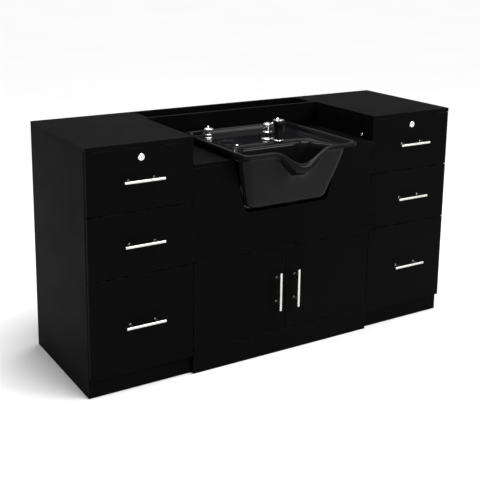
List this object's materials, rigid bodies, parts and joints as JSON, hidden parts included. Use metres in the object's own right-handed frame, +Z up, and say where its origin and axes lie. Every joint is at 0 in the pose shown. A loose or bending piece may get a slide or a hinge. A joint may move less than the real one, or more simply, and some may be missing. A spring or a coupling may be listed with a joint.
{
  "type": "shampoo backwash unit",
  "caption": "Freestanding salon wash unit: drawer towers either side of a counter with an overhanging black shampoo bowl above a two-door cabinet.",
  "frame": {"origin": "at floor level, in the middle of the unit's plan box, bowl lip included", "axes": "+X to the right of a person facing the front, +Y from the front to the wall, +Z up"},
  "size_m": [1.6, 0.643, 0.887],
  "materials": {
    "black_laminate": "black satin laminate on particle board, edges banded to match",
    "drawer_melamine": "pale grey melamine board",
    "satin_nickel": "satin nickel plate on the bar handles",
    "hinge_steel": "nickel-plated pressed steel",
    "chrome": "polished chrome plate",
    "bowl_black": "glossy black moulded ABS",
    "spray_black": "black moulded plastic, semi-gloss",
    "pipe_plastic": "off-white drain plastic"
  },
  "bodies": {
    "root": {"tower_top_left": "black_laminate", "tower_outer_side_left": "black_laminate", "tower_inner_side_left": "black_laminate", "tower_back_left": "black_laminate", "tower_floor_left": "black_laminate", "tower_plinth_left": "black_laminate", "centre_side_left": "black_laminate", "tower_top_right": "black_laminate", "tower_outer_side_right": "black_laminate", "tower_inner_side_right": "black_laminate", "tower_back_right": "black_laminate", "tower_floor_right": "black_laminate", "tower_plinth_right": "black_laminate", "centre_side_right": "black_laminate", "centre_floor": "black_laminate", "centre_plinth": "black_laminate", "centre_back": "black_laminate", "backsplash": "black_laminate", "counter_top": "black_laminate", "fascia": "black_laminate", "bowl": "bowl_black", "drain_trap": "pipe_plastic", "faucet_body": "chrome", "vacuum_breaker": "chrome", "spray_bushing": "chrome", "joining_bolt": "chrome"},
    "drawer_left_top": {"drawer_front_left_top": "black_laminate", "drawer_box_left_top": "drawer_melamine", "drawer_handle_left_top": "satin_nickel", "lock_barrel_left": "chrome"},
    "lock_cam_left": {"lock_cam_left": "chrome"},
    "drawer_left_middle": {"drawer_front_left_middle": "black_laminate", "drawer_box_left_middle": "drawer_melamine", "drawer_handle_left_middle": "satin_nickel"},
    "drawer_left_bottom": {"drawer_front_left_bottom": "black_laminate", "drawer_box_left_bottom": "drawer_melamine", "drawer_handle_left_bottom": "satin_nickel"},
    "door_left": {"door_left": "black_laminate", "door_handle_left": "satin_nickel", "hinge_left_lower": "hinge_steel", "hinge_left_upper": "hinge_steel"},
    "drawer_right_top": {"drawer_front_right_top": "black_laminate", "drawer_box_right_top": "drawer_melamine", "drawer_handle_right_top": "satin_nickel", "lock_barrel_right": "chrome"},
    "lock_cam_right": {"lock_cam_right": "chrome"},
    "drawer_right_middle": {"drawer_front_right_middle": "black_laminate", "drawer_box_right_middle": "drawer_melamine", "drawer_handle_right_middle": "satin_nickel"},
    "drawer_right_bottom": {"drawer_front_right_bottom": "black_laminate", "drawer_box_right_bottom": "drawer_melamine", "drawer_handle_right_bottom": "satin_nickel"},
    "door_right": {"door_right": "black_laminate", "door_handle_right": "satin_nickel", "hinge_right_lower": "hinge_steel", "hinge_right_upper": "hinge_steel"},
    "faucet_cap": {"faucet_cap": "chrome"},
    "faucet_lever": {"faucet_lever": "chrome"},
    "spray_head": {"spray_head": "spray_black"},
    "strainer": {"strainer": "chrome"}
  },
  "joints": [
    {"name": "drawer_left_top_slide", "type": "slide", "parent": "root", "child": "drawer_left_top", "axis": [0, -1, 0], "range_m": [0, 0.3]},
    {"name": "lock_cam_left_turn", "type": "hinge", "parent": "drawer_left_top", "child": "lock_cam_left", "pos_m": [-0.6, -0.2065, 0.837], "axis": [0, -1, 0], "range_deg": [0, 90]},
    {"name": "drawer_left_middle_slide", "type": "slide", "parent": "root", "child": "drawer_left_middle", "axis": [0, -1, 0], "range_m": [0, 0.3]},
    {"name": "drawer_left_bottom_slide", "type": "slide", "parent": "root", "child": "drawer_left_bottom", "axis": [0, -1, 0], "range_m": [0, 0.3]},
    {"name": "door_left_hinge", "type": "hinge", "parent": "root", "child": "door_left", "pos_m": [-0.3985, -0.2065, 0.25675], "axis": [0, 0, -1], "range_deg": [0, 90]},
    {"name": "drawer_right_top_slide", "type": "slide", "parent": "root", "child": "drawer_right_top", "axis": [0, -1, 0], "range_m": [0, 0.3]},
    {"name": "lock_cam_right_turn", "type": "hinge", "parent": "drawer_right_top", "child": "lock_cam_right", "pos_m": [0.6, -0.2065, 0.837], "axis": [0, -1, 0], "range_deg": [0, 90]},
    {"name": "drawer_right_middle_slide", "type": "slide", "parent": "root", "child": "drawer_right_middle", "axis": [0, -1, 0], "range_m": [0, 0.3]},
    {"name": "drawer_right_bottom_slide", "type": "slide", "parent": "root", "child": "drawer_right_bottom", "axis": [0, -1, 0], "range_m": [0, 0.3]},
    {"name": "door_right_hinge", "type": "hinge", "parent": "root", "child": "door_right", "pos_m": [0.3985, -0.2065, 0.25675], "axis": [0, 0, 1], "range_deg": [0, 90]},
    {"name": "faucet_cap_turn", "type": "hinge", "parent": "root", "child": "faucet_cap", "pos_m": [0.038, -0.0035, 0.846], "axis": [0, 0, 1], "range_deg": [-20, 70]},
    {"name": "faucet_lever_lift", "type": "hinge", "parent": "faucet_cap", "child": "faucet_lever", "pos_m": [0.0585, -0.0035, 0.8535], "axis": [0, -1, 0], "range_deg": [0, 25]},
    {"name": "spray_head_lift", "type": "slide", "parent": "root", "child": "spray_head", "axis": [0, 0, 1], "range_m": [0, 0.15]},
    {"name": "strainer_lift", "type": "slide", "parent": "root", "child": "strainer", "axis": [0, 0, 1], "range_m": [0, 0.04]}
  ]
}
